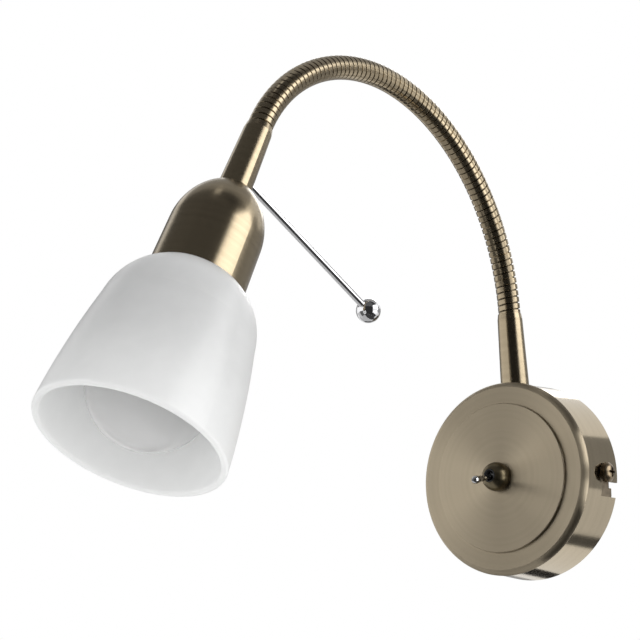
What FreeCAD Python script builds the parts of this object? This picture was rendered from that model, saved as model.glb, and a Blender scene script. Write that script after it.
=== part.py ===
"""Bedside wall reading lamp: a round canopy with a toggle switch, a gooseneck arm and a glass head.

Units are millimetres. The wall is the plane Y = 0, the lamp stands out of it towards -Y, +Z is up, and
the origin is the middle of the canopy on the wall. The arm lies in the plane X = 0.

Every sub-part is drawn in a local frame whose Z is the axis it was turned or drilled on. A local frame
is the lamp's frame tilted forward about X, so its Z leans from straight up towards the room.
"""
import FreeCAD
import Part
import math
import os

V = FreeCAD.Vector

# ---- driving dimensions -------------------------------------------------------------------------
# canopy, measured outward from the wall
CANOPY_BACK_R = 43.4        # radius of the open edge on the wall
CANOPY_NECK_R = 42.0        # side wall's radius just behind the rim
CANOPY_RIM_R = 42.5         # the rolled rim stands a little proud of the side wall
CANOPY_WALL = 1.0
CANOPY_SIDE_H = 21.0        # side wall, from the wall to the rim
RING_H = 24.6               # height of the flat ring behind the raised disc
DISC_R = 32.7               # raised disc in the middle of the face
DISC_H = 26.0               # height of the disc's edge
DISC_CROWN = 0.6            # the disc rises to its middle by this much
DISC_FLAT_R = 8.0           # flat seat for the switch's nut and washer

# bayonet slots in the canopy's back edge, at three and nine o'clock
HOOK_R = 3.7                # round end that the screw rests in
HOOK_OUT = 9.4              # height of the screw above the wall
SLOT_DEPTH = 11.0           # the way in, from the back edge
SLOT_TOP = -3.7
SLOT_BOTTOM = -10.1

# bracket
STRAP_T = 1.5
STRAP_W = 20.0
TAB_X = 40.4                # outer face of a bent tab
TAB_W = 12.0
TAB_H = 15.0
STRAP_BEND_R = 3.0
WALL_HOLE_X = 25.0          # half the distance between the two wall slots
WALL_SLOT_R = 2.25
WALL_SLOT_LENGTH = 12.0
CABLE_HOLE_R = 5.0
TONGUE_W = 16.0
TONGUE_REACH = 30.0         # the tongue's lower end, below the middle
M4_R = 2.0

# switch, on the lamp's axis
NUT_SPHERE_R = 6.4
NUT_SPHERE_OUT = 1.9        # the sphere's centre, in front of the face
BUSH_R = 2.95
BUSH_BORE_R = 2.15
PIVOT_OUT = 31.0            # the lever turns here, above the wall
LEVER_LENGTH = 14.6         # from the pivot to the middle of the tip
LEVER_TILT = 12.0           # below the switch's axis when the lever is down
LEVER_BALL_R = 2.07
LEVER_TIP_R = 1.55
SWITCH_SIZE = (13.0, 8.0, 9.5)

# arm
ARM_OUT = 11.4              # the sleeve's middle, above the wall
ARM_FOOT_Z = 42.0           # where the sleeve's axis is measured from
ARM_LEAN = 4.8              # lean of the arm's first straight length, towards the room
SLEEVE_LENGTH = 33.5
SLEEVE_FOOT_R = 6.4
SLEEVE_SHOULDER_R = 5.6
SLEEVE_MOUTH_R = 5.15
NIPPLE_R = 4.9
NIPPLE_BORE_R = 3.4

# gooseneck
NECK_R = 5.0
NECK_GROOVE_R = 4.6
NECK_BORE_R = 2.2           # through the balls and the two tails
LINK_BORE_R = 2.0           # through the links, straight from joint to joint
NECK_LENGTH = 231.6         # between the two sleeves
NECK_TURN = 148.5           # whole bend of the neck, in degrees
NECK_TIP_BEND = 0.5         # how much tighter it bends at the head
NECK_TIP_POWER = 8
NECK_LINKS = 18
RIBS_PER_LINK = 5
GROOVE_HALF = 0.35          # half the width of a groove
NECK_TAIL = 8.0             # straight length held in a sleeve
UNCURL = 12.0               # range of a forward joint, in degrees, and of a sideways one
CURL = 4.0
SIDEWAYS = 9.0
SIDEWAYS_EVERY = 3          # every third joint bends sideways
LINK_CLEARANCE = 0.1
SOCKET_R = 3.5              # a link ends in a round socket, and the next one has a ball that turns in it
BALL_CLEARANCE = 0.04
BALL_WAIST_R = 3.0

# head, measured along its axis from the end of the neck
HEAD_SLEEVE_END = 31.5
CUP_DOME_END = 54.0
CUP_DOME_R = 28.2
CUP_MID_R = 17.8
CUP_END = 77.0
CUP_END_R = 18.2
CUP_WALL = 1.0
SHADE_TOP_R = 18.9
SHADE_HOLE_R = 14.5
SHADE_SHOULDER_MID = (26.2, 86.0)
SHADE_SHOULDER = (28.9, 95.5)
SHADE_FLARE_MID = (32.6, 118.0)
SHADE_MOUTH_R = 34.9
SHADE_END = 144.0
SHADE_WALL = 2.6
RING_R = 18.5
BULB_R = 23.0
BULB_CENTRE = 121.0
BULB_CAP_START = 66.5
BULB_CAP_END = 91.0
BULB_CAP_R = 6.9

# handle
HANDLE_AT = 24.0            # along the head's axis
ROD_R = 1.5
BALL_R = 5.0
BALL_REACH = 85.9           # from the head's axis to the ball's centre

NO_TILT = 0.0
OUTWARD = 90.0              # tilt that turns a local Z into the direction away from the wall

# screws, washers and leads
EARTH_X = 12.5              # the earth screw's place on the strap
EARTH_Y = 4.0
EARTH_HEAD_R = 3.6
EARTH_HEAD_H = 2.2
SCREW_HEAD_R = 4.1
SCREW_HEAD_H = 2.6
WASHER_T = 0.8
WASHER_R = SCREW_HEAD_R + 0.2
CANOPY_TAPER = (CANOPY_BACK_R - CANOPY_NECK_R) / CANOPY_SIDE_H
WASHER_X = CANOPY_BACK_R - CANOPY_TAPER * (HOOK_OUT - WASHER_R)     # it bears on the wall's widest part
WIRE_R = 0.9

# terminal block on the tongue
TERMINAL_W = 26.0
TERMINAL_Y = (-28.0, -14.0)
TERMINAL_H = 11.0
POLES = 3
POLE_PITCH = 8.0
POLE_TUBE_R = 1.6
POLE_WAY = STRAP_T + 4.5    # height of the wire ways' middles
CLAMP_R = 1.7
LEAD_WAY = POLE_WAY - POLE_TUBE_R + WIRE_R + 0.02
SCREW_ROWS = (TERMINAL_Y[0] + 3.5, TERMINAL_Y[1] - 3.5)

# where the switch's parts stand, outward from the wall
FACE_OUT = DISC_H + DISC_CROWN                  # front of the canopy at its middle
PANEL_BACK = FACE_OUT - CANOPY_WALL
SWITCH_WASHER_T = 0.7
SWITCH_FRONT = PANEL_BACK - SWITCH_WASHER_T
BUSH_FRONT = FACE_OUT + NUT_SPHERE_OUT + math.sqrt(NUT_SPHERE_R ** 2 - BUSH_R ** 2)
TERMINAL_LUG_X = 4.7
LUG_LENGTH = 4.5

# the arm's nipple, washer and nut, along the arm's axis
NIPPLE_LOW = -7.0
NIPPLE_HIGH = 14.0
ARM_NUT_T = 3.0
ARM_WASHER_T = 1.2
ARM_WASHER_R = 8.0
ARM_SEAT = -1.0 - ARM_WASHER_T

# inside the head, along its axis
HEAD_NIPPLE_START = 12.0
HEAD_NIPPLE_END = 44.0
HEAD_NUT_T = 3.0
NUT_FLATS = 14.0
HEAD_COLLAR_H = 1.9
HEAD_COLLAR_R = 6.0
HOLDER_START = 40.0
HOLDER_R = 13.0
HOLDER_THREAD_R = 14.0
HOLDER_END = 95.0
HOLDER_FLOOR = BULB_CAP_START - 5.0
SHELL_R = 8.4
SHELL_BORE_R = 7.4
COLLAR_END = 101.5
THREAD_TURNS = 5
THREAD_PITCH = 2.82
THREAD_DEPTH = 0.6
CAP_WALL = 0.8


# ---- helpers ------------------------------------------------------------------------------------
def frame(origin, tilt):
    """A local frame at origin, tilted forward about X by tilt degrees."""
    return FreeCAD.Placement(origin, FreeCAD.Rotation(V(1, 0, 0), tilt))


def placed(shape, place):
    """A copy of the shape, moved from a local frame into the lamp's."""
    moved = shape.copy()
    moved.Placement = place.multiply(moved.Placement)
    return moved


def turned(start, *steps):
    """Revolve an outline of (radius, height) about Z. A step is a point, or (middle, end) of an arc."""
    points = [start]
    edges = []
    for step in steps + (start,):
        here = V(points[-1][0], 0, points[-1][1])
        if isinstance(step[0], tuple):
            middle, end = step
            edges.append(Part.Arc(here, V(middle[0], 0, middle[1]), V(end[0], 0, end[1])).toShape())
        else:
            end = step
            edges.append(Part.LineSegment(here, V(end[0], 0, end[1])).toShape())
        points.append(end)
    face = Part.Face(Part.Wire(edges))
    return face.revolve(V(0, 0, 0), V(0, 0, 1), 360)


def rod(radius, low, high):
    """A round bar on Z from low to high."""
    return Part.makeCylinder(radius, high - low, V(0, 0, low))


def pipe(outer, inner, low, high):
    """A round tube on Z from low to high."""
    return rod(outer, low, high).cut(rod(inner, low - 1, high + 1))


def block(x, y, z):
    """A box from three (low, high) pairs."""
    return Part.makeBox(x[1] - x[0], y[1] - y[0], z[1] - z[0], V(x[0], y[0], z[0]))


def hexagon(across_flats, low, high):
    """A hexagonal prism on Z."""
    corner = across_flats / math.sqrt(3)
    points = [V(corner * math.cos(math.radians(60 * k)), corner * math.sin(math.radians(60 * k)), low)
              for k in range(7)]
    return Part.Face(Part.makePolygon(points)).extrude(V(0, 0, high - low))


def obround(half_length, radius, low, high):
    """A slot cutter along X, with round ends, on Z from low to high."""
    middle = block((-half_length, half_length), (-radius, radius), (low, high))
    ends = [placed(rod(radius, low, high), frame(V(x, 0, 0), NO_TILT)) for x in (-half_length, half_length)]
    return middle.multiFuse(ends).removeSplitter()


def mirrored(shape):
    """The shape reflected in the plane X = 0."""
    return shape.mirror(V(0, 0, 0), V(1, 0, 0))


def along_x(shape, x, y, z):
    """A shape drawn on Z, laid along +X with its foot at a point."""
    return placed(shape, FreeCAD.Placement(V(x, y, z), FreeCAD.Rotation(V(0, 1, 0), 90)))


def save(name, shape):
    """Write one sub-part."""
    shape.exportStep("parts/%s.step" % name)


# ---- local frames -------------------------------------------------------------------------------
BASE = frame(V(0, 0, 0), OUTWARD)
ARM = frame(V(0, -ARM_OUT, ARM_FOOT_Z), ARM_LEAN)


def link_turn(k):
    """Bend of neck link k, in degrees: steady along the neck and tighter towards the head."""
    weights = [1 + NECK_TIP_BEND * ((i + 0.5) / NECK_LINKS) ** NECK_TIP_POWER for i in range(NECK_LINKS)]
    return NECK_TURN * weights[k] / sum(weights)


def neck_frames():
    """The frames at the ends of the links, from the arm sleeve to the head sleeve."""
    here = ARM.multVec(V(0, 0, SLEEVE_LENGTH))
    tilt = ARM_LEAN
    frames = [frame(here, tilt)]
    step = NECK_LENGTH / NECK_LINKS
    for k in range(NECK_LINKS):
        here = frames[-1].multVec(on_arc(k, step)[0])
        tilt += link_turn(k)
        frames.append(frame(here, tilt))
    return frames


def on_arc(k, distance):
    """Where link k's centre line is at a distance from its start, in its own frame, and its tilt there."""
    length = NECK_LENGTH / NECK_LINKS
    angle = math.radians(link_turn(k)) * distance / length
    radius = length / math.radians(link_turn(k))
    point = V(0, -radius * (1 - math.cos(angle)), radius * math.sin(angle))
    return point, math.degrees(angle)


# ---- canopy and bracket -------------------------------------------------------------------------
def canopy_outside():
    """The canopy's outer form, solid, in the base frame."""
    disc_edge = 0.3
    return turned(
        (0, 0),
        (CANOPY_BACK_R, 0),
        (CANOPY_NECK_R, CANOPY_SIDE_H),
        ((CANOPY_RIM_R - 0.1, CANOPY_SIDE_H + 0.4), (CANOPY_RIM_R, CANOPY_SIDE_H + 1.0)),
        ((CANOPY_RIM_R - 0.75, RING_H - 0.9), (CANOPY_RIM_R - 2.4, RING_H + 0.2)),
        (DISC_R, RING_H),
        (DISC_R, DISC_H - disc_edge),
        ((DISC_R - 0.09, DISC_H - 0.09), (DISC_R - disc_edge, DISC_H)),
        (DISC_FLAT_R, DISC_H + DISC_CROWN),
        (0, DISC_H + DISC_CROWN),
    )


def canopy_inside():
    """The hollow of the canopy, in the base frame."""
    t = CANOPY_WALL
    return turned(
        (0, -1),
        (CANOPY_BACK_R - t, -1),
        (CANOPY_BACK_R - t, 0),
        (CANOPY_NECK_R - t, CANOPY_SIDE_H),
        ((CANOPY_NECK_R - t - 0.6, RING_H - t - 0.7), (CANOPY_RIM_R - 3.0, RING_H - t)),
        (DISC_R - t, RING_H - t),
        (DISC_R - t, DISC_H - t),
        (DISC_FLAT_R, DISC_H + DISC_CROWN - t),
        (0, DISC_H + DISC_CROWN - t),
    )


def bayonet_slot():
    """The cutter for the slot at three o'clock: in from the back edge, then up to the screw's seat."""
    reach = (CANOPY_NECK_R - 5, CANOPY_BACK_R + 1)
    way_in = block(reach, (SLOT_BOTTOM, SLOT_TOP), (-1, SLOT_DEPTH))
    rise = block(reach, (SLOT_TOP - 1, 0), (HOOK_OUT - HOOK_R, HOOK_OUT + HOOK_R))
    seat = along_x(Part.makeCylinder(HOOK_R, reach[1] - reach[0]), reach[0], 0, HOOK_OUT)
    return way_in.multiFuse([rise, seat])


def make_canopy():
    """Spun cup with holes for the arm and the switch and two bayonet slots."""
    shell = canopy_outside().cut(canopy_inside())
    slot = bayonet_slot()
    arm_hole = placed(rod(NIPPLE_R + 0.15, -12, 12), BASE.inverse().multiply(ARM))
    switch_hole = rod(BUSH_R + 0.15, DISC_H - 5, DISC_H + 5)
    return placed(shell.cut([slot, mirrored(slot), arm_hole, switch_hole]), BASE)


def strap_profile():
    """Half of the bent strap's section, in the base frame's X and Z, as a face."""
    r = STRAP_BEND_R
    t = STRAP_T
    c = TAB_X - r
    s = math.sqrt(0.5)
    inner = r - t
    outer_arc = Part.Arc(V(c, 0, 0), V(c + r * s, 0, r - r * s), V(TAB_X, 0, r))
    inner_arc = Part.Arc(V(TAB_X - t, 0, r), V(c + inner * s, 0, r - inner * s), V(c, 0, t))
    edges = [
        Part.LineSegment(V(0, 0, 0), V(c, 0, 0)).toShape(),
        outer_arc.toShape(),
        Part.LineSegment(V(TAB_X, 0, r), V(TAB_X, 0, TAB_H)).toShape(),
        Part.LineSegment(V(TAB_X, 0, TAB_H), V(TAB_X - t, 0, TAB_H)).toShape(),
        Part.LineSegment(V(TAB_X - t, 0, TAB_H), V(TAB_X - t, 0, r)).toShape(),
        inner_arc.toShape(),
        Part.LineSegment(V(c, 0, t), V(0, 0, t)).toShape(),
        Part.LineSegment(V(0, 0, t), V(0, 0, 0)).toShape(),
    ]
    return Part.Face(Part.Wire(edges))


def make_bracket():
    """Steel strap with two tapped tabs, slotted wall holes, a cable hole and a tongue."""
    half = strap_profile().extrude(V(0, STRAP_W, 0))
    half.translate(V(0, -STRAP_W / 2, 0))
    shoulder = TAB_X - STRAP_BEND_R - 4
    for side in (-1, 1):
        low, high = sorted((side * TAB_W / 2, side * STRAP_W))
        half = half.cut(block((shoulder, TAB_X + 1), (low, high), (-1, TAB_H + 1)))
    tongue = block((-TONGUE_W / 2, TONGUE_W / 2), (-TONGUE_REACH, 0), (0, STRAP_T))
    strap = half.multiFuse([mirrored(half), tongue]).removeSplitter()
    half_slot = WALL_SLOT_LENGTH / 2 - WALL_SLOT_R
    cutters = [rod(CABLE_HOLE_R, -1, STRAP_T + 1)]
    for x in (-WALL_HOLE_X, WALL_HOLE_X):
        cutters.append(placed(obround(half_slot, WALL_SLOT_R, -1, STRAP_T + 1), frame(V(x, 0, 0), NO_TILT)))
    cutters.append(along_x(Part.makeCylinder(M4_R, 2 * TAB_X + 2), -TAB_X - 1, 0, HOOK_OUT))
    cutters.append(placed(rod(M4_R, -1, STRAP_T + 1), frame(V(EARTH_X, EARTH_Y, 0), NO_TILT)))
    return placed(strap.cut(cutters), BASE)


def screw(radius, length, head_r, head_h):
    """A pan-head screw on Z: its shank runs down from 0 and its domed head up, with a cross recess."""
    head = turned((0, 0), (head_r, 0), (head_r, head_h * 0.45),
                  ((head_r * 0.72, head_h * 0.86), (0, head_h)))
    recess = block((-head_r * 0.55, head_r * 0.55), (-0.45, 0.45), (head_h * 0.45, head_h + 1))
    turned_recess = placed(recess, FreeCAD.Placement(V(0, 0, 0), FreeCAD.Rotation(V(0, 0, 1), 90)))
    return head.fuse(rod(radius, -length, 0)).cut([recess, turned_recess])


def make_side_screws():
    """Two M4 screws through the canopy's slots into the bracket's tabs."""
    shank = WASHER_X + WASHER_T - TAB_X + STRAP_T + 2
    one = along_x(screw(M4_R, shank, SCREW_HEAD_R, SCREW_HEAD_H), WASHER_X + WASHER_T, 0, HOOK_OUT)
    return placed(Part.makeCompound([one, mirrored(one)]), BASE)


def make_side_washers():
    """Serrated washers: a toothed ring, one for each side screw."""
    teeth = 14
    ring = pipe(WASHER_R, M4_R, 0, WASHER_T)
    notch = block((SCREW_HEAD_R - 0.5, SCREW_HEAD_R + 1), (-0.35, 0.35), (-1, WASHER_T + 1))
    notches = [placed(notch, FreeCAD.Placement(V(0, 0, 0), FreeCAD.Rotation(V(0, 0, 1), 360.0 * k / teeth)))
               for k in range(teeth)]
    one = along_x(ring.cut(notches), WASHER_X, 0, HOOK_OUT)
    return placed(Part.makeCompound([one, mirrored(one)]), BASE)


def make_earth_screw():
    """Earth screw in the strap."""
    one = screw(M4_R, STRAP_T, EARTH_HEAD_R, EARTH_HEAD_H)
    one.translate(V(EARTH_X, EARTH_Y, STRAP_T))
    return placed(one, BASE)


def pole_positions():
    """X of each pole of the terminal block."""
    return [POLE_PITCH * (k - (POLES - 1) / 2) for k in range(POLES)]


def make_terminal_block():
    """Three-way connector on the tongue: a moulded block with a wire way and two screw wells a pole."""
    body = block((-TERMINAL_W / 2, TERMINAL_W / 2), TERMINAL_Y, (STRAP_T, STRAP_T + TERMINAL_H))
    body = body.makeFillet(0.8, [e for e in body.Edges if abs(e.tangentAt(e.FirstParameter).z) > 0.9])
    cutters = []
    for x in pole_positions():
        cutters.append(Part.makeCylinder(POLE_TUBE_R, 40, V(x, -40, POLE_WAY), V(0, 1, 0)))
        for y in SCREW_ROWS:
            cutters.append(placed(rod(CLAMP_R, POLE_WAY, POLE_WAY + 20), frame(V(x, y, 0), NO_TILT)))
    for x in (-POLE_PITCH / 2, POLE_PITCH / 2):
        gap = block((x - 0.5, x + 0.5), (TERMINAL_Y[0] - 1, TERMINAL_Y[1] + 1),
                    (STRAP_T + TERMINAL_H - 3, STRAP_T + TERMINAL_H + 1))
        cutters.append(gap)
    return placed(body.cut(cutters), BASE)


def make_terminal_screws():
    """The six slotted clamping screws, sunk in their wells."""
    screws = []
    for x in pole_positions():
        for y in SCREW_ROWS:
            one = rod(CLAMP_R, LEAD_WAY + WIRE_R, STRAP_T + 10.2)
            one = one.cut(block((-2, 2), (-0.3, 0.3), (STRAP_T + 9.4, STRAP_T + 11)))
            one.translate(V(x, y, 0))
            screws.append(one)
    return placed(Part.makeCompound(screws), BASE)


# ---- switch -------------------------------------------------------------------------------------
def make_switch_nut():
    """Domed nut on the canopy's face, open in front for the bush."""
    centre = FACE_OUT + NUT_SPHERE_OUT
    foot_r = math.sqrt(NUT_SPHERE_R ** 2 - NUT_SPHERE_OUT ** 2)
    side = (NUT_SPHERE_R * math.cos(math.radians(25)), centre + NUT_SPHERE_R * math.sin(math.radians(25)))
    nut = turned((BUSH_R, FACE_OUT), (foot_r, FACE_OUT), (side, (BUSH_R, BUSH_FRONT)))
    return placed(nut, BASE)


def make_switch_bush():
    """Threaded bush of the switch, through the canopy's face, with the lever's ball seat."""
    relief = 3.0
    bush = turned(
        (BUSH_BORE_R, SWITCH_FRONT),
        (BUSH_R, SWITCH_FRONT),
        (BUSH_R, BUSH_FRONT - 0.3),
        (BUSH_R - 0.3, BUSH_FRONT),
        (BUSH_BORE_R + 0.25, BUSH_FRONT),
        (BUSH_BORE_R, PIVOT_OUT + relief - 1),
    )
    return placed(bush, BASE)


def make_switch_washer():
    """Shakeproof washer between the switch and the canopy's inside."""
    return placed(pipe(6.2, BUSH_R, SWITCH_FRONT, PANEL_BACK), BASE)


def make_switch_body():
    """Body of the miniature toggle switch, behind the canopy's face."""
    width, height, depth = SWITCH_SIZE
    body = block((-width / 2, width / 2), (-height / 2, height / 2), (SWITCH_FRONT - depth, SWITCH_FRONT))
    body = body.makeFillet(0.8, [e for e in body.Edges if abs(e.tangentAt(e.FirstParameter).z) > 0.9])
    lever_room = Part.makeSphere(2.9, V(0, 0, SWITCH_FRONT + 0.5))
    return placed(body.cut(lever_room), BASE)


def make_switch_terminals():
    """Three solder lugs, each with a hole."""
    lugs = []
    back = SWITCH_FRONT - SWITCH_SIZE[2]
    for x in (-TERMINAL_LUG_X, 0, TERMINAL_LUG_X):
        lug = block((x - 0.4, x + 0.4), (-1.1, 1.1), (back - LUG_LENGTH, back))
        lugs.append(lug.cut(Part.makeCylinder(0.5, 4, V(x - 2, 0, back - LUG_LENGTH + 1.2), V(1, 0, 0))))
    return placed(Part.makeCompound(lugs), BASE)


def make_toggle_lever():
    """Bat lever: a ball in the bush and a bar that swells to a round tip, tilted down."""
    waist_r = 1.05
    swell_at = LEVER_LENGTH - 2.0
    ball_top = math.sqrt(LEVER_BALL_R ** 2 - waist_r ** 2)
    tip_end = LEVER_LENGTH + 1.4
    tip_flat_r = 0.5
    lever = turned((0, -ball_top), (waist_r, -ball_top), ((LEVER_BALL_R, 0), (waist_r, ball_top)),
                   (waist_r, 5.0), (LEVER_TIP_R, swell_at),
                   ((LEVER_TIP_R * 0.88, LEVER_LENGTH + 0.5), (tip_flat_r, tip_end)), (0, tip_end))
    return placed(lever, frame(V(0, -PIVOT_OUT, 0), OUTWARD + LEVER_TILT))


# ---- arm ----------------------------------------------------------------------------------------
def sleeve(length, foot_low):
    """Tapered sleeve, wide at its foot, with a bevelled mouth for the neck at its end."""
    bevel = 2.6
    bore = NIPPLE_R + 0.05
    neck_hole = NECK_R + 0.02
    return turned(
        (bore, foot_low),
        (SLEEVE_FOOT_R, foot_low),
        (SLEEVE_SHOULDER_R, length - bevel),
        (SLEEVE_MOUTH_R + 0.08, length - 0.1),
        (neck_hole, length),
        (neck_hole, length - NECK_TAIL),
        (bore, length - NECK_TAIL),
    )


def make_arm_sleeve():
    """Sleeve on top of the canopy, its foot cut to the canopy's curve."""
    outside = placed(canopy_outside(), BASE)
    whole = placed(sleeve(SLEEVE_LENGTH, -2.0), ARM).cut(outside)
    return whole


def make_arm_nipple():
    """Hollow threaded tube from inside the canopy up into the sleeve."""
    return placed(pipe(NIPPLE_R, NIPPLE_BORE_R, NIPPLE_LOW, NIPPLE_HIGH), ARM)


def make_arm_washer():
    """Saddle washer, shaped to the canopy's inside."""
    disc = placed(pipe(ARM_WASHER_R, NIPPLE_R, ARM_SEAT, 0.2), ARM)
    return disc.common(placed(canopy_inside(), BASE))


def make_arm_nut():
    """Hexagon nut that pulls the sleeve down on the canopy."""
    nut = hexagon(NUT_FLATS, ARM_SEAT - ARM_NUT_T, ARM_SEAT).cut(rod(NIPPLE_R, ARM_SEAT - 9, ARM_SEAT + 9))
    return placed(nut, ARM)


# ---- gooseneck ----------------------------------------------------------------------------------
def is_sideways(joint):
    """Whether the joint after this many links bends sideways."""
    return joint % SIDEWAYS_EVERY == 0


def joint_gap(joint):
    """Gap at a joint: its width on the axis, and its slope, wider on the outside of the neck's bend."""
    if is_sideways(joint):
        return NECK_R * math.sin(math.radians(SIDEWAYS)) + LINK_CLEARANCE, 0.0
    outside = NECK_R * math.sin(math.radians(UNCURL)) + LINK_CLEARANCE
    inside = NECK_R * math.sin(math.radians(CURL)) + LINK_CLEARANCE
    return (outside + inside) / 2, math.degrees(math.atan((outside - inside) / 2 / NECK_R))


def section(k, distance, radius):
    """A circle round link k's centre line, in the link's frame. Its seam stays on the X axis."""
    point, tilt = on_arc(k, distance)
    normal = V(0, -math.sin(math.radians(tilt)), math.cos(math.radians(tilt)))
    circle = Part.Circle(point, normal, radius)
    circle.XAxis = V(1, 0, 0)
    return Part.Wire([circle.toShape()])


def ribbed_skin(k):
    """Link k's ribs, as one ruled loft through four circles a rib."""
    pitch = NECK_LENGTH / NECK_LINKS / RIBS_PER_LINK
    wires = []
    for rib in range(RIBS_PER_LINK):
        start = rib * pitch
        end = start + pitch
        first = rib == 0
        last = rib == RIBS_PER_LINK - 1
        wires.append(section(k, start, NECK_R if first else NECK_GROOVE_R))
        wires.append(section(k, start + GROOVE_HALF, NECK_R))
        wires.append(section(k, end - GROOVE_HALF, NECK_R))
        if last:
            wires.append(section(k, end, NECK_R))
    return Part.makeLoft(wires, True, True)


def bore_core(k):
    """The cable way through link k: a straight hole along its chord, a little past both ends."""
    over = 1.0
    end = on_arc(k, NECK_LENGTH / NECK_LINKS)[0]
    along = V(end).normalize()
    return Part.makeCylinder(LINK_BORE_R, end.Length + 2 * over, along.multiply(-over), end)


def trim(place, slope, above):
    """A block that cuts a link's end square, or to a slope, above or below a frame's origin."""
    size = 16.0
    cutter = block((-size, size), (-size, size), (0, size) if above else (-size, 0))
    return placed(cutter, place.multiply(frame(V(0, 0, 0), slope)))


def link_start(k):
    """What link k carries at its start: a tail in the arm sleeve, or a ball in the last link's socket."""
    if k == 0:
        return pipe(NECK_R, NECK_BORE_R, -NECK_TAIL, 0)
    ball_r = SOCKET_R - BALL_CLEARANCE
    rooted = joint_gap(k)[0] / 2 + 1.2

    def on_ball(radius):
        return radius, -math.sqrt(ball_r ** 2 - radius ** 2)

    middle_r = (NECK_BORE_R + BALL_WAIST_R) / 2
    return turned(on_ball(NECK_BORE_R), (on_ball(middle_r), on_ball(BALL_WAIST_R)), (BALL_WAIST_R, rooted),
                  (NECK_BORE_R, rooted))


def socket_cutter():
    """Round hollow for the next link's ball, in the joint's frame. Its deepest part is lost in the bore."""
    flat_r = NECK_BORE_R * 0.7

    def on_socket(radius):
        return radius, -math.sqrt(SOCKET_R ** 2 - radius ** 2)

    return turned((0, on_socket(flat_r)[1]), on_socket(flat_r), (on_socket(SOCKET_R * 0.8), (SOCKET_R, 0)),
                  (SOCKET_R, 2), (0, 2))


def make_link(k, frames):
    """Ribbed length k of the gooseneck, in the lamp's frame."""
    body = placed(ribbed_skin(k), frames[k])
    if k > 0:
        gap, slope = joint_gap(k)
        near = frames[k].multiply(frame(V(0, 0, gap / 2), NO_TILT))
        body = body.cut(trim(near, slope / 2, above=False))
    if k < NECK_LINKS - 1:
        gap, slope = joint_gap(k + 1)
        far = frames[k + 1].multiply(frame(V(0, 0, -gap / 2), NO_TILT))
        body = body.cut(trim(far, -slope / 2, above=True))
        body = body.cut(placed(socket_cutter(), frames[k + 1]))
    else:
        body = body.fuse(placed(pipe(NECK_R, NECK_BORE_R, 0, NECK_TAIL), frames[k + 1]))
    body = body.fuse(placed(link_start(k), frames[k]))
    return body.cut(placed(bore_core(k), frames[k]))


# ---- head ---------------------------------------------------------------------------------------
def make_head_sleeve(place):
    """Sleeve between the neck and the cup, turned over so that its foot is on the cup."""
    whole = sleeve(HEAD_SLEEVE_END, 0.0)
    over = FreeCAD.Placement(V(0, 0, HEAD_SLEEVE_END), FreeCAD.Rotation(V(1, 0, 0), 180))
    hole = Part.makeCylinder(ROD_R, 10, V(0, 0, HANDLE_AT), V(0, -1, 0))
    return placed(placed(whole, over).cut(hole), place)


def make_head_nipple(place):
    """Hollow threaded tube that carries the cup and the lampholder."""
    tube = pipe(NIPPLE_R, NIPPLE_BORE_R, HEAD_NIPPLE_START, HEAD_NIPPLE_END)
    return placed(tube, place)


def make_head_nut(place):
    """Collared nut inside the cup: its round collar reaches up into the narrow top of the dome."""
    low = HEAD_SLEEVE_END + CUP_WALL
    shoulder = low + HEAD_COLLAR_H
    nut = hexagon(NUT_FLATS, shoulder, shoulder + HEAD_NUT_T).fuse(rod(HEAD_COLLAR_R, low, shoulder))
    return placed(nut.cut(rod(NIPPLE_R, low - 1, low + 9)), place)


def dome_point(height, wall):
    """Radius of the cup's dome at a height, this far inside its outer face."""
    centre = CUP_MID_R - CUP_DOME_R
    return centre + math.sqrt((CUP_DOME_R - wall) ** 2 - (CUP_DOME_END - height) ** 2)


def make_head_cup(place):
    """Metal cup: a flat seat for the sleeve, a long dome and a slightly flared skirt."""
    t = CUP_WALL
    seat_r = dome_point(HEAD_SLEEVE_END, 0)
    inner_top = HEAD_SLEEVE_END + t
    cup = turned(
        (NIPPLE_R, HEAD_SLEEVE_END),
        (seat_r, HEAD_SLEEVE_END),
        ((dome_point(42.0, 0), 42.0), (CUP_MID_R, CUP_DOME_END)),
        (CUP_END_R, CUP_END),
        (CUP_END_R - t, CUP_END),
        (CUP_MID_R - t, CUP_DOME_END),
        ((dome_point(42.0, t), 42.0), (dome_point(inner_top, t), inner_top)),
        (NIPPLE_R, inner_top),
    )
    return placed(cup, place)


def make_lampholder_body(place):
    """Moulded lampholder: a domed cap on the nipple and a skirt that the ring screws on."""
    cap_end = 48.0
    body = turned(
        (NIPPLE_R, HOLDER_START),
        (8.0, HOLDER_START),
        ((11.6, 42.6), (HOLDER_R, cap_end)),
        (HOLDER_R, CUP_END - 1.0),
        (HOLDER_THREAD_R, CUP_END - 1.0),
        (HOLDER_THREAD_R, HOLDER_END - 0.8),
        (HOLDER_THREAD_R - 0.8, HOLDER_END),
        (SHELL_R + 0.4, HOLDER_END),
        (SHELL_R, HOLDER_END - 1.5),
        (SHELL_R, HOLDER_FLOOR),
        (NIPPLE_BORE_R, HOLDER_FLOOR),
        (NIPPLE_BORE_R, HEAD_NIPPLE_END),
        (NIPPLE_R, HEAD_NIPPLE_END),
    )
    return placed(body, place)


def make_lampholder_shell(place):
    """Screw shell of the lampholder."""
    return placed(pipe(SHELL_R, SHELL_BORE_R, BULB_CAP_START + 1.0, HOLDER_END - 4.0), place)


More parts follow.
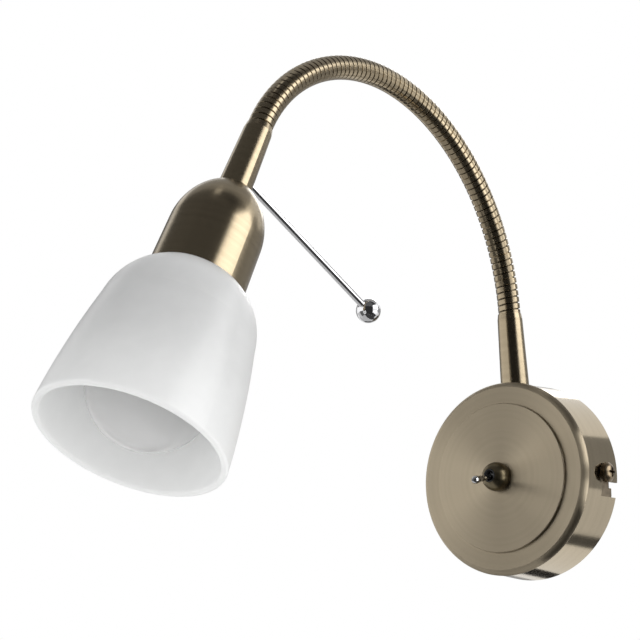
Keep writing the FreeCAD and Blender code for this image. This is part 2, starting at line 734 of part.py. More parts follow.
def make_lampholder_contact(place):
    """Sprung centre contact under the bulb's foot: a bent tongue on the holder's floor."""
    foot = block((-6.5, 1.0), (-2.0, 2.0), (HOLDER_FLOOR, HOLDER_FLOOR + 0.5))
    riser = block((0.5, 1.0), (-2.0, 2.0), (HOLDER_FLOOR, BULB_CAP_START - 0.8))
    tongue = block((-3.0, 1.0), (-2.0, 2.0), (BULB_CAP_START - 1.3, BULB_CAP_START - 0.8))
    return placed(foot.multiFuse([riser, tongue]).removeSplitter(), place)


def shade_profile(inset):
    """Points of the shade's outline, this far inside its outer face."""
    slant = inset * 0.7
    top = (SHADE_TOP_R - inset * 0.45, CUP_END + inset)
    shoulder_mid = (SHADE_SHOULDER_MID[0] - slant, SHADE_SHOULDER_MID[1] + slant)
    shoulder = (SHADE_SHOULDER[0] - inset, SHADE_SHOULDER[1] + inset * 0.2)
    flare_mid = (SHADE_FLARE_MID[0] - inset, SHADE_FLARE_MID[1] + inset * 0.1)
    mouth = (SHADE_MOUTH_R - inset, SHADE_END - SHADE_WALL / 2)
    return top, shoulder_mid, shoulder, flare_mid, mouth


def make_shade_glass(place):
    """Opal glass bell: flat top with the ring's hole, round shoulder, bowed flare, rounded mouth rim."""
    top, shoulder_mid, shoulder, flare_mid, mouth = shade_profile(0)
    top_in, shoulder_mid_in, shoulder_in, flare_mid_in, mouth_in = shade_profile(SHADE_WALL)
    rim = (SHADE_MOUTH_R - SHADE_WALL / 2, SHADE_END)
    glass = turned(
        (SHADE_HOLE_R, CUP_END),
        top,
        (shoulder_mid, shoulder),
        (flare_mid, mouth),
        (rim, mouth_in),
        (flare_mid_in, shoulder_in),
        (shoulder_mid_in, top_in),
        (SHADE_HOLE_R, CUP_END + SHADE_WALL),
    )
    return placed(glass, place)


def make_shade_ring(place):
    """Threaded ring that clamps the glass from inside, with grip notches on its edge."""
    low = CUP_END + SHADE_WALL
    flange_r = min(RING_R, shade_profile(SHADE_WALL)[0][0] - 0.3)
    ring = turned((HOLDER_THREAD_R, low), (flange_r, low), (flange_r, low + 2.0), (16.0, low + 2.6),
                  (16.0, low + 8.0), (HOLDER_THREAD_R, low + 8.0))
    notch = block((15.2, 19.0), (-0.6, 0.6), (low + 3.0, low + 9.0))
    notches = [placed(notch, FreeCAD.Placement(V(0, 0, 0), FreeCAD.Rotation(V(0, 0, 1), 30.0 * k)))
               for k in range(12)]
    return placed(ring.cut(notches), place)


def globe_radius(height):
    """Radius of the bulb's sphere at a height on the head's axis."""
    return math.sqrt(BULB_R ** 2 - (height - BULB_CENTRE) ** 2)


def make_bulb_globe(place):
    """Frosted globe, a hollow sphere open where the collar holds it."""
    wall = 1.0
    inner_open = math.sqrt((BULB_R - wall) ** 2 - (COLLAR_END - BULB_CENTRE) ** 2)
    globe = turned(
        (globe_radius(COLLAR_END), COLLAR_END),
        ((BULB_R, BULB_CENTRE), (0, BULB_CENTRE + BULB_R)),
        (0, BULB_CENTRE + BULB_R - wall),
        ((BULB_R - wall, BULB_CENTRE), (inner_open, COLLAR_END)),
    )
    return placed(globe, place)


def make_bulb_collar(place):
    """Moulded collar between the cap and the globe."""
    collar = turned(
        (0, BULB_CAP_END),
        (BULB_CAP_R + 0.4, BULB_CAP_END),
        ((9.6, 97.0), (globe_radius(COLLAR_END), COLLAR_END)),
        (0, COLLAR_END),
    )
    return placed(collar, place)


def make_bulb_cap(place):
    """Screw cap of the bulb, a thin shell: rolled thread, drawn as rings, and a tapered foot."""
    foot = BULB_CAP_START + 1.0
    low = BULB_CAP_START + 5.5
    root_r = BULB_CAP_R - THREAD_DEPTH
    inside_r = root_r - CAP_WALL
    steps = [(4.2, foot), (root_r, low)]
    for k in range(THREAD_TURNS):
        start = low + THREAD_PITCH * k
        steps.append((BULB_CAP_R, start + THREAD_PITCH / 2))
        steps.append((root_r, start + THREAD_PITCH))
    steps += [(BULB_CAP_R, BULB_CAP_END - 2.0), (BULB_CAP_R, BULB_CAP_END), (inside_r, BULB_CAP_END),
              (inside_r, low), (3.4, foot + CAP_WALL), (0, foot + CAP_WALL)]
    return placed(turned((0, foot), *steps), place)


def make_bulb_contact(place):
    """Contact button on the bulb's foot, with its glass bead."""
    return placed(turned((0, BULB_CAP_START), (2.0, BULB_CAP_START + 0.2), (3.4, BULB_CAP_START + 1.0),
                         (0, BULB_CAP_START + 1.0)), place)


def make_handle_rod(place):
    """Thin rod screwed in the head sleeve, towards the wall and down."""
    start = NIPPLE_R + 0.05
    bar = Part.makeCylinder(ROD_R, BALL_REACH - start, V(0, -start, HANDLE_AT), V(0, -1, 0))
    return placed(bar, place)


def make_handle_ball(place):
    """Ball on the rod's end."""
    ball = Part.makeSphere(BALL_R, V(0, -BALL_REACH, HANDLE_AT))
    hole = Part.makeCylinder(ROD_R, BALL_REACH, V(0, 0, HANDLE_AT), V(0, -1, 0))
    return placed(ball.cut(hole), place)


# ---- leads --------------------------------------------------------------------------------------
def bent_wire(points):
    """Round wire along straight runs joined by arcs, as large as the runs allow."""
    edges = []
    last = points[0]
    for before, corner, after in zip(points, points[1:], points[2:]):
        back = before.sub(corner)
        ahead = after.sub(corner)
        half = back.getAngle(ahead) / 2
        reach = 0.45 * min(back.Length, ahead.Length)
        radius = reach * math.tan(half)
        start = corner.add(back.normalize().multiply(reach))
        end = corner.add(ahead.normalize().multiply(reach))
        middle_line = start.add(end).multiply(0.5).sub(corner)
        to_arc = radius / math.sin(half) - radius
        middle = corner.add(middle_line.normalize().multiply(to_arc))
        edges.append(Part.LineSegment(last, start).toShape())
        edges.append(Part.Arc(start, middle, end).toShape())
        last = end
    edges.append(Part.LineSegment(last, points[-1]).toShape())
    path = Part.Wire(edges)
    first = points[1].sub(points[0])
    ring = Part.Wire([Part.Circle(points[0], first, WIRE_R).toShape()])
    wire = path.makePipeShell([ring], True, False)
    length = sum(e.Length for e in edges)
    print("lead: %.1f mm long, volume ratio %.3f" % (length, wire.Volume / (math.pi * WIRE_R ** 2 * length)))
    return wire


def lead_routes():
    """The leads in the canopy, in the base frame: from the terminal block to the neck and the switch."""
    way = LEAD_WAY
    top = TERMINAL_Y[1]
    poles = pole_positions()
    lug_back = SWITCH_FRONT - SWITCH_SIZE[2] - LUG_LENGTH
    nipple = BASE.inverse().multiply(ARM).multVec(V(0, 0, NIPPLE_LOW))
    up = V(0, 1, 0.03)
    return {
        "lead_to_switch": [V(poles[2], top - 9, way), V(poles[2], top + 6, way), V(13, -2, way + 1),
                           V(9, 3, lug_back - 3.0), V(TERMINAL_LUG_X, 0.0, lug_back - 1.4),
                           V(TERMINAL_LUG_X, 0.0, lug_back)],
        "lead_from_switch": [V(0, 0, lug_back), V(0, 0, lug_back - 1.4), V(0.5, 8, lug_back - 4.5),
                             V(1.5, 20, nipple.z), nipple.add(V(1.3, -4, 0)), nipple.add(V(1.3, 1, 0))],
        "lead_neutral": [V(poles[0], top - 9, way), V(poles[0], top + 6, way), V(-12, 2, way + 1),
                         V(-8, 18, nipple.z - 1), nipple.add(V(-1.3, -4, 0)), nipple.add(V(-1.3, 1, 0))],
    }


# ---- build --------------------------------------------------------------------------------------
def main():
    os.makedirs("parts", exist_ok=True)
    frames = neck_frames()
    head = frames[-1]
    save("canopy", make_canopy())
    save("wall_bracket", make_bracket())
    save("side_screws", make_side_screws())
    save("side_washers", make_side_washers())
    save("earth_screw", make_earth_screw())
    save("terminal_block", make_terminal_block())
    save("terminal_screws", make_terminal_screws())
    save("switch_body", make_switch_body())
    save("switch_terminals", make_switch_terminals())
    save("switch_bush", make_switch_bush())
    save("switch_washer", make_switch_washer())
    save("switch_nut", make_switch_nut())
    save("toggle_lever", make_toggle_lever())
    save("arm_sleeve", make_arm_sleeve())
    save("arm_nipple", make_arm_nipple())
    save("arm_washer", make_arm_washer())
    save("arm_nut", make_arm_nut())
    for k in range(NECK_LINKS):
        save("neck_link_%02d" % (k + 1), make_link(k, frames))
    save("head_sleeve", make_head_sleeve(head))
    save("head_nipple", make_head_nipple(head))
    save("head_nut", make_head_nut(head))
    save("head_cup", make_head_cup(head))
    save("lampholder_body", make_lampholder_body(head))
    save("lampholder_shell", make_lampholder_shell(head))
    save("lampholder_contact", make_lampholder_contact(head))
    save("shade_glass", make_shade_glass(head))
    save("shade_ring", make_shade_ring(head))
    save("bulb_globe", make_bulb_globe(head))
    save("bulb_collar", make_bulb_collar(head))
    save("bulb_cap", make_bulb_cap(head))
    save("bulb_contact", make_bulb_contact(head))
    save("handle_rod", make_handle_rod(head))
    save("handle_ball", make_handle_ball(head))
    for name, points in lead_routes().items():
        save(name, placed(bent_wire(points), BASE))
    for joint, place in enumerate(frames[1:-1], start=1):
        p = place.Base
        tilt = math.degrees(place.Rotation.Angle)
        print("joint %d at %.4f %.4f %.4f tilt %.4f sideways %s" % (joint, p.x, p.y, p.z, tilt,
                                                                    is_sideways(joint)))


main()
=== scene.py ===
"""Looks of the bedside wall reading lamp: its finishes, its gooseneck's wound skin, the wings of its
bracket's tabs, and a plain studio.

Metres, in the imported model's frame: the wall is the plane Y = 0, the lamp stands out of it towards -Y,
and +Z is up.
"""

import math

import bmesh
import bpy
from mathutils import Matrix, Vector


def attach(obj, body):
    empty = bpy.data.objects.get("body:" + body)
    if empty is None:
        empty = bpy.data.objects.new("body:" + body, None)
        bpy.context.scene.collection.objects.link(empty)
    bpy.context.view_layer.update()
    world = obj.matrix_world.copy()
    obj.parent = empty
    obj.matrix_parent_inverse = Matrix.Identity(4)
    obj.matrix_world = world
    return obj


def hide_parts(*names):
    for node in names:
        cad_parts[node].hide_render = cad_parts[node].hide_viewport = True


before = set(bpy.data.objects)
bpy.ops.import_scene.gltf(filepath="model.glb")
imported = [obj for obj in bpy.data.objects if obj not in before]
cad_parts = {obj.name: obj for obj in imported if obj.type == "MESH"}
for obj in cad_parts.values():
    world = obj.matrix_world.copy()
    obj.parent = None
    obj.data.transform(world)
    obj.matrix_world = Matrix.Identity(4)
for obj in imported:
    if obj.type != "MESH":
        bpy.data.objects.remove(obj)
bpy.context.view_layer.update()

MM = 0.001

# ---- sizes of the gooseneck, in millimetres, as in the part's source -----------------------------------
ARM_OUT = 11.4
ARM_FOOT_Z = 42.0
ARM_LEAN = 4.8
SLEEVE_LENGTH = 33.5
NECK_LENGTH = 231.6
NECK_TURN = 148.5
NECK_TIP_BEND = 0.5
NECK_TIP_POWER = 8
NECK_LINKS = 18
LINK = NECK_LENGTH / NECK_LINKS

# the wound strip: each turn is a flat band between two dark grooves
TURN_PITCH = 2.9
BAND_R = 4.97
GROOVE_R = 4.35
GROOVE_SHARE = 0.07         # half a groove's floor, as a share of the pitch
BAND_EDGE = (               # from the groove to the flat of the band: (share of the pitch, depth)
    (0.10, 0.12),
    (0.12, 0.02),
    (0.14, 0.0),
    (0.18, 0.0),
)
AROUND = 48                 # vertices in one turn
HIDDEN = 4.0                # how far the skin runs on inside a sleeve
LINER_R = 3.9               # a plain tube inside, which closes the gap where two links bend apart
LINER_AROUND = 24
LINER_REACH = 3.0           # how far it runs on into the next link
LINER_STEPS = 12
LINER_INSET = 0.5           # turns that it starts inside its own link


def axis_of(tilt):
    """Unit vector that leans from straight up towards the room by tilt degrees."""
    turn = math.radians(tilt)
    return Vector((0.0, -math.sin(turn), math.cos(turn)))


# ---- the neck's centre line ----------------------------------------------------------------------------
def link_turn(k):
    """Bend of neck link k, in radians."""
    weights = [1 + NECK_TIP_BEND * ((i + 0.5) / NECK_LINKS) ** NECK_TIP_POWER for i in range(NECK_LINKS)]
    return math.radians(NECK_TURN) * weights[k] / sum(weights)


def neck_stations():
    """Start point (y, z) and tilt of every link and of the head, in millimetres and radians."""
    tilt = math.radians(ARM_LEAN)
    y = -ARM_OUT - SLEEVE_LENGTH * math.sin(tilt)
    z = ARM_FOOT_Z + SLEEVE_LENGTH * math.cos(tilt)
    stations = [(y, z, tilt)]
    for k in range(NECK_LINKS):
        stations.append(neck_point(stations, k, LINK))
    return stations


def neck_point(stations, k, distance):
    """(y, z, tilt) at a distance along link k. Below 0 or past the last link the line runs on straight."""
    y, z, tilt = stations[k]
    if distance < 0:
        return y - distance * math.sin(tilt), z + distance * math.cos(tilt), tilt
    bend = link_turn(k)
    radius = LINK / bend
    angle = bend * min(distance, LINK) / LINK
    forward = radius * (1 - math.cos(angle))
    along = radius * math.sin(angle)
    y -= along * math.sin(tilt) + forward * math.cos(tilt)
    z += along * math.cos(tilt) - forward * math.sin(tilt)
    tilt += angle
    past = max(distance - LINK, 0.0)
    return y - past * math.sin(tilt), z + past * math.cos(tilt), tilt


STATIONS = neck_stations()


def on_neck(distance):
    """(point, across) of the neck's centre line, at a distance from the arm sleeve's mouth."""
    k = min(max(int(distance // LINK), 0), NECK_LINKS - 1)
    y, z, tilt = neck_point(STATIONS, k, distance - k * LINK)
    across = Vector((0.0, math.cos(tilt), math.sin(tilt)))
    return Vector((0.0, y, z)), across


def on_skin(distance, angle, radius):
    """Point at a distance along the neck, an angle round it and a radius, in metres."""
    point, across = on_neck(distance)
    out = Vector((math.cos(angle), 0, 0)) + across * math.sin(angle)
    return (point + out * radius) * MM


def turn_outline():
    """One turn of the strip, from groove to groove, as (share of the pitch, radius)."""
    rise = [(GROOVE_SHARE, GROOVE_R)] + [(share, BAND_R - depth) for share, depth in BAND_EDGE]
    fall = [(1 - share, radius) for share, radius in reversed(rise)]
    return [(0.0, GROOVE_R), *rise, (0.5, BAND_R), *fall]


# ---- meshes --------------------------------------------------------------------------------------------
def mesh_object(name, verts, faces, smooth=True):
    """A mesh object in the scene."""
    mesh = bpy.data.meshes.new(name)
    mesh.from_pydata([tuple(v) for v in verts], [], faces)
    mesh.validate()
    mesh.update()
    for polygon in mesh.polygons:
        polygon.use_smooth = smooth
    obj = bpy.data.objects.new(name, mesh)
    bpy.context.scene.collection.objects.link(obj)
    return obj


def join_seams(obj):
    """Merge the vertices where a sheet meets itself."""
    sheet = bmesh.new()
    sheet.from_mesh(obj.data)
    bmesh.ops.remove_doubles(sheet, verts=sheet.verts, dist=0.001 * MM)
    sheet.to_mesh(obj.data)
    sheet.free()


def set_outward(obj):
    """Turn every face of a closed piece outward."""
    solid = bmesh.new()
    solid.from_mesh(obj.data)
    bmesh.ops.recalc_face_normals(solid, faces=solid.faces)
    solid.to_mesh(obj.data)
    solid.free()


def strip_mesh(first, last):
    """(vertices, faces) of the wound strip from turn first up to turn last, as one helical sheet."""
    rows = [(turn + share, radius) for turn in range(first, last) for share, radius in turn_outline()]
    rows.append((last, GROOVE_R))
    columns = AROUND + 1
    verts = []
    for turns, radius in rows:
        for step in range(columns):
            round_share = step / AROUND
            distance = (turns + round_share) * TURN_PITCH - HIDDEN
            verts.append(on_skin(distance, 2 * math.pi * round_share, radius))
    faces = []
    for row in range(len(rows) - 1):
        for step in range(AROUND):
            a = row * columns + step
            faces.append((a, a + 1, a + columns + 1, a + columns))
    return verts, faces


def liner_mesh(start, end):
    """(vertices, faces) of the liner between two distances along the neck."""
    verts = []
    for row in range(LINER_STEPS + 1):
        distance = start + (end - start) * row / LINER_STEPS
        for step in range(LINER_AROUND):
            verts.append(on_skin(distance, 2 * math.pi * step / LINER_AROUND, LINER_R))
    faces = []
    for row in range(LINER_STEPS):
        for step in range(LINER_AROUND):
            a = row * LINER_AROUND + step
            b = row * LINER_AROUND + (step + 1) % LINER_AROUND
            faces.append((a, b, b + LINER_AROUND, a + LINER_AROUND))
    return verts, faces


def neck_skin(name, first, last, reach):
    """The wound strip from turn first up to turn last, and its liner, which runs on by reach."""
    verts, faces = strip_mesh(first, last)
    start = (first + LINER_INSET) * TURN_PITCH - HIDDEN
    end = last * TURN_PITCH - HIDDEN + reach
    liner_verts, liner_faces = liner_mesh(start, end)
    faces += [tuple(corner + len(verts) for corner in face) for face in liner_faces]
    skin = mesh_object(name, verts + liner_verts, faces)
    join_seams(skin)
    return skin


# ---- materials -----------------------------------------------------------------------------------------
NOISE_RANGE = (0.3, 0.7)    # where most of a noise texture's values lie
RING_SCALE = 9000.0         # of the rings that a lathe leaves
CLOUD_SCALE = 500.0         # of the soft clouds in a turned piece's colour
RING_DEPTH = 0.05
RING_HEIGHT = 0.02          # mm
QUARTER_TURN = 0.25         # stretches a highlight across the rings
GRAIN_SCALE = 400.0
GLASS_SCALE = 120.0


def new_material(name, **values):
    """A material with one Principled shader and its values."""
    material = bpy.data.materials.new(name)
    material.use_nodes = True
    shader = material.node_tree.nodes["Principled BSDF"]
    for key, value in values.items():
        socket = shader.inputs[key.replace("_", " ")]
        socket.default_value = value
    return material


def node(material, kind, **values):
    """A new node with the given properties."""
    made = material.node_tree.nodes.new(kind)
    for key, value in values.items():
        setattr(made, key, value)
    return made


def link(material, output, socket):
    """Join an output socket to an input socket."""
    material.node_tree.links.new(output, socket)


def vector_math(material, operation, first, second=None):
    """Vector Math node on one or two inputs. An input is an output socket or a constant vector."""
    made = node(material, "ShaderNodeVectorMath", operation=operation)
    for socket, value in zip(made.inputs, (first, second)):
        if isinstance(value, bpy.types.NodeSocket):
            link(material, value, socket)
        elif value is not None:
            socket.default_value = value
    return made


def turned_on(material, origin, axis):
    """Sockets of a turned surface's own measures, in metres: along its axis, out from it, and round it."""
    place = node(material, "ShaderNodeTexCoord").outputs["Object"]
    from_origin = vector_math(material, "SUBTRACT", place, tuple(Vector(origin) * MM)).outputs["Vector"]
    along = vector_math(material, "DOT_PRODUCT", from_origin, tuple(axis)).outputs["Value"]
    cross = vector_math(material, "CROSS_PRODUCT", tuple(axis), from_origin).outputs["Vector"]
    out = vector_math(material, "LENGTH", cross).outputs["Value"]
    tangent = vector_math(material, "NORMALIZE", cross).outputs["Vector"]
    to_world = node(material, "ShaderNodeVectorTransform", vector_type="VECTOR", convert_from="OBJECT",
                    convert_to="WORLD")
    link(material, tangent, to_world.inputs["Vector"])
    return along, out, to_world.outputs["Vector"]


def combine(material, x, y):
    """Combine XYZ of two sockets."""
    made = node(material, "ShaderNodeCombineXYZ")
    for socket, value in zip(made.inputs, (x, y)):
        link(material, value, socket)
    return made.outputs["Vector"]


def noise(material, vector, scale, detail=2.0):
    """Noise texture's value."""
    made = node(material, "ShaderNodeTexNoise")
    made.inputs["Scale"].default_value = scale
    made.inputs["Detail"].default_value = detail
    link(material, vector, made.inputs["Vector"])
    return made.outputs["Fac"]


def spread(material, value, low, high):
    """Map a 0 to 1 value to low to high."""
    made = node(material, "ShaderNodeMapRange")
    made.inputs["From Min"].default_value, made.inputs["From Max"].default_value = NOISE_RANGE
    made.inputs["To Min"].default_value = low
    made.inputs["To Max"].default_value = high
    link(material, value, made.inputs["Value"])
    return made.outputs["Result"]


def two_colours(material, value, first, second):
    """Colour between first and second by a 0 to 1 value."""
    ramp = node(material, "ShaderNodeValToRGB")
    for element, position, colour in zip(ramp.color_ramp.elements, NOISE_RANGE, (first, second)):
        element.position = position
        element.color = (*colour, 1.0)
    link(material, value, ramp.inputs["Fac"])
    return ramp.outputs["Color"]


def bump(material, height, strength, distance):
    """Bump on the shader's normal."""
    shader = material.node_tree.nodes["Principled BSDF"]
    made = node(material, "ShaderNodeBump")
    made.inputs["Strength"].default_value = strength
    made.inputs["Distance"].default_value = distance
    link(material, height, made.inputs["Height"])
    link(material, made.outputs["Normal"], shader.inputs["Normal"])


def side_finish(material, along, rings, height, roughness, anisotropic, face_rough):
    """Roughness socket: in the range roughness up to a height on the axis, and face_rough above it.

    The highlights are stretched above that height only.
    """
    shader = material.node_tree.nodes["Principled BSDF"]
    above = node(material, "ShaderNodeMath", operation="GREATER_THAN")
    above.inputs[1].default_value = height * MM
    link(material, along, above.inputs[0])
    choice = node(material, "ShaderNodeMix", data_type="FLOAT")
    link(material, above.outputs["Value"], choice.inputs["Factor"])
    link(material, spread(material, rings, *roughness), choice.inputs["A"])
    link(material, face_rough, choice.inputs["B"])
    stretch = node(material, "ShaderNodeMath", operation="MULTIPLY")
    stretch.inputs[1].default_value = anisotropic
    link(material, above.outputs["Value"], stretch.inputs[0])
    link(material, stretch.outputs["Value"], shader.inputs["Anisotropic"])
    return choice.outputs["Result"]


def turned_metal(name, colours, roughness, anisotropic, origin, axis, side=None):
    """Metal finished on a lathe: fine rings round its axis, which stretch its highlights across them.

    With side, (height along the axis, its range of roughness), the wall below that height has a finish
    of its own.
    """
    material = new_material(name, Metallic=1.0, Anisotropic=anisotropic,
                            Anisotropic_Rotation=QUARTER_TURN)
    shader = material.node_tree.nodes["Principled BSDF"]
    along, out, tangent = turned_on(material, origin, axis)
    place = combine(material, along, out)
    rings = noise(material, place, RING_SCALE, detail=3.0)
    clouds = noise(material, place, CLOUD_SCALE, detail=1.0)
    link(material, two_colours(material, clouds, *colours), shader.inputs["Base Color"])
    rough = spread(material, rings, *roughness)
    if side:
        rough = side_finish(material, along, rings, *side, anisotropic, rough)
    link(material, rough, shader.inputs["Roughness"])
    link(material, tangent, shader.inputs["Tangent"])
    bump(material, rings, RING_DEPTH, RING_HEIGHT * MM)
    return material


def grained(name, colours, roughness, scale=GRAIN_SCALE, **values):
    """Material with a soft grain in its colour and roughness."""
    material = new_material(name, **values)
    shader = material.node_tree.nodes["Principled BSDF"]
    place = node(material, "ShaderNodeTexCoord").outputs["Object"]
    grain = noise(material, place, scale)
    link(material, two_colours(material, grain, *colours), shader.inputs["Base Color"])
    link(material, spread(material, grain, *roughness), shader.inputs["Roughness"])
    return material


# painted shade for the neck's grooves, darker where less of the space round a point is open
GROOVE_SIGHT = 0.8          # mm; how far round itself a point of the neck looks
GROOVE_OPEN = 0.75          # a point that sees less than this share of the space lies in a groove
# share of the colour left where the painted groove shade is deepest
GROOVE_SHADE_DARKEST = 0.06


def paint_groove_shade(material):
    """Painted shade in the grooves: darken the colour there, the more the less a point sees of the space
    round it.
    """
    shader = material.node_tree.nodes["Principled BSDF"]
    colour = shader.inputs["Base Color"].links[0].from_socket
    openness = node(material, "ShaderNodeAmbientOcclusion", only_local=True)
    openness.inputs["Distance"].default_value = GROOVE_SIGHT * MM
    share = node(material, "ShaderNodeMapRange")
    share.inputs["From Min"].default_value = GROOVE_OPEN / 2
    share.inputs["From Max"].default_value = GROOVE_OPEN
    share.inputs["To Min"].default_value = GROOVE_SHADE_DARKEST
    link(material, openness.outputs["AO"], share.inputs["Value"])
    scaled = vector_math(material, "SCALE", colour)
    link(material, share.outputs["Result"], scaled.inputs["Scale"])
    link(material, scaled.outputs["Vector"], shader.inputs["Base Color"])
    return material


ARM_ORIGIN = (0.0, -ARM_OUT, ARM_FOOT_Z)
ARM_AXIS = axis_of(ARM_LEAN)
HEAD_ORIGIN = (0.0, *STATIONS[-1][:2])
HEAD_AXIS = axis_of(math.degrees(STATIONS[-1][2]))
WALL_ORIGIN = (0.0, 0.0, 0.0)
WALL_AXIS = axis_of(90.0)   # straight out of the wall
CANOPY_SIDE = 21.6          # where the side wall's finish ends, just past the wall, on the rim's foot
FACE_BRASS = ((0.47, 0.40, 0.29), (0.50, 0.425, 0.31))
NUT_BRASS = ((0.2, 0.165, 0.1), (0.26, 0.215, 0.14))
DARK_BRASS = ((0.36, 0.295, 0.2), (0.40, 0.33, 0.225))

SCATTER = {"Subsurface_Weight": 1.0, "Subsurface_Radius": (1, 1, 1), "IOR": 1.5}

MATERIALS = {
    "canopy": turned_metal("canopy_brass", FACE_BRASS, (0.32, 0.4), 1.0, WALL_ORIGIN, WALL_AXIS,
                           side=(CANOPY_SIDE, (0.09, 0.13))),
    "switch_nut": turned_metal("nut_brass", NUT_BRASS, (0.28, 0.34), 0.3, WALL_ORIGIN, WALL_AXIS),
    "arm": turned_metal("arm_brass", DARK_BRASS, (0.2, 0.27), 0.5, ARM_ORIGIN, ARM_AXIS),
    "head": turned_metal("head_brass", DARK_BRASS, (0.2, 0.26), 0.5, HEAD_ORIGIN, HEAD_AXIS),
    # the neck's brass colour carries painted shade in its grooves
    "neck": paint_groove_shade(grained("neck_brass", DARK_BRASS, (0.2, 0.22), Metallic=1.0)),
    "chrome": grained("chrome", ((0.78, 0.78, 0.79), (0.84, 0.84, 0.85)), (0.06, 0.1), Metallic=1.0),
    "zinc": grained("zinc_steel", ((0.2, 0.165, 0.12), (0.28, 0.23, 0.17)), (0.4, 0.55), Metallic=1.0),
    "bronze": grained("bronze_steel", ((0.2, 0.15, 0.1), (0.34, 0.27, 0.18)), (0.24, 0.36), Metallic=1.0),
    "terminal": grained("terminal_brass", ((0.62, 0.47, 0.2), (0.74, 0.58, 0.28)), (0.26, 0.36),
                        Metallic=1.0),
    "black": grained("black_plastic", ((0.012, 0.012, 0.012), (0.02, 0.02, 0.02)), (0.35, 0.45)),
    "white": grained("white_plastic", ((0.74, 0.74, 0.71), (0.8, 0.8, 0.78)), (0.35, 0.45)),
    "opal": grained("opal_glass", ((0.80, 0.81, 0.81), (0.83, 0.84, 0.84)), (0.3, 0.36), scale=GLASS_SCALE,
                    Subsurface_Scale=0.012, **SCATTER),
    "bulb": grained("bulb_glass", ((0.93, 0.93, 0.92), (0.95, 0.95, 0.94)), (0.16, 0.2), scale=GLASS_SCALE,
                    Subsurface_Scale=0.006, **SCATTER),
    "tin": grained("bare_tin", ((0.66, 0.66, 0.67), (0.76, 0.76, 0.77)), (0.24, 0.34), Metallic=1.0),
    "insulation": grained("lead_white", ((0.74, 0.74, 0.71), (0.8, 0.8, 0.77)), (0.4, 0.5)),
}

NODE_MATERIAL = {
    "canopy": "canopy", "wall_bracket": "zinc", "side_screws": "bronze", "side_washers": "bronze",
    "earth_screw": "terminal", "terminal_block": "white", "terminal_screws": "terminal",
    "switch_body": "black", "switch_terminals": "tin", "switch_bush": "black", "switch_washer": "zinc",
    "switch_nut": "switch_nut", "toggle_lever": "chrome", "arm_sleeve": "arm", "arm_nipple": "zinc",
    "arm_washer": "zinc", "arm_nut": "terminal", "head_sleeve": "head", "head_nipple": "zinc",
    "head_nut": "terminal", "head_cup": "head", "lampholder_body": "white", "lampholder_shell": "terminal",
    "lampholder_contact": "terminal", "shade_glass": "opal", "shade_ring": "white", "bulb_globe": "bulb",
    "bulb_collar": "white", "bulb_cap": "tin", "bulb_contact": "tin", "handle_rod": "chrome",
    "handle_ball": "chrome", "lead_from_switch": "insulation", "lead_neutral": "insulation",
    "lead_to_switch": "insulation",
}


def dress(obj, material):
    """Give an object one material."""
    obj.data.materials.clear()
    obj.data.materials.append(material)


def dress_nodes():
    """Materials of the CAD nodes. The neck's links take the neck's."""
    for name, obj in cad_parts.items():
        dress(obj, MATERIALS[NODE_MATERIAL.get(name, "neck")])


# ---- the gooseneck's skin ------------------------------------------------------------------------------
def link_body(number):
    """CAD body that neck link number (from 1) belongs to."""
    if number == 1:
        return "base"
    return "head" if number == NECK_LINKS else "neck_%02d" % number


def turn_at(distance):
    """Whole turn of the strip nearest to a distance along the neck."""
    return round((distance + HIDDEN) / TURN_PITCH)


def make_neck():
    """The wound skin in one piece a link, each cut in a groove, so a joint that bends opens that groove."""
    last_turn = turn_at(NECK_LENGTH + HIDDEN)
    for number in range(1, NECK_LINKS + 1):
        low = 0 if number == 1 else turn_at((number - 1) * LINK)
        high = last_turn if number == NECK_LINKS else turn_at(number * LINK)
        piece = neck_skin("neck_skin_%02d" % number, low, high, 0 if number == NECK_LINKS else LINER_REACH)
        dress(piece, MATERIALS["neck"])
        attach(piece, link_body(number))
        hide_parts("neck_link_%02d" % number)


# ---- the bracket's wings -------------------------------------------------------------------------------
TAB_BACK = 38.9             # the tabs' inner and outer faces
TAB_FACE = 40.4
WING_REACH = 10.8           # the wings' tips, above and below the middle
WING_ROOT = 5.9             # a little inside the tab's edge
WING_OUT = (0.3, 14.6)      # from the wall
WING_CORNER = 2.0
CORNER_STEPS = 6


def wing_outline():
    """Outline of one wing in (y, z), its outer corners rounded, for the wing below the tab."""
    low, high = WING_OUT
    points = [(-low, -WING_ROOT), (-high, -WING_ROOT)]
    for y, first in ((-high + WING_CORNER, 180), (-low - WING_CORNER, 270)):
        for step in range(CORNER_STEPS + 1):
            turn = math.radians(first + 90 * step / CORNER_STEPS)
            points.append((y + WING_CORNER * math.cos(turn),
                           -WING_REACH + WING_CORNER + WING_CORNER * math.sin(turn)))
    return points


def make_wings():
    """The tabs of the bracket are wider behind the bayonet slots: a wing above and below each tab."""
    outline = wing_outline()
    count = len(outline)
    for side, side_name in ((1, "right"), (-1, "left")):
        for up, up_name in ((1, "low"), (-1, "high")):
            verts = [Vector((side * x, y, up * z)) * MM for x in (TAB_BACK, TAB_FACE) for y, z in outline]
            faces = [tuple(range(count)), tuple(range(2 * count - 1, count - 1, -1))]
            faces += [(i, i + count, (i + 1) % count + count, (i + 1) % count) for i in range(count)]
            wing = mesh_object("tab_wing_%s_%s" % (side_name, up_name), verts, faces, smooth=False)
            set_outward(wing)
            dress(wing, MATERIALS["zinc"])
            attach(wing, "base")


# ---- studio --------------------------------------------------------------------------------------------
SEEN = ("Is Camera Ray", "Is Glossy Ray", "Is Transmission Ray")
FLOOR_Z = -0.5
FLOOR_HALF = 6.0
WORLD_LIGHT = 0.7
CARD_DISTANCE = 2.6
CARD_STEPS = 12
MIDDLE = Vector((0.0, -0.13, 0.06))     # where the lights look, and the middle of the cards' sphere


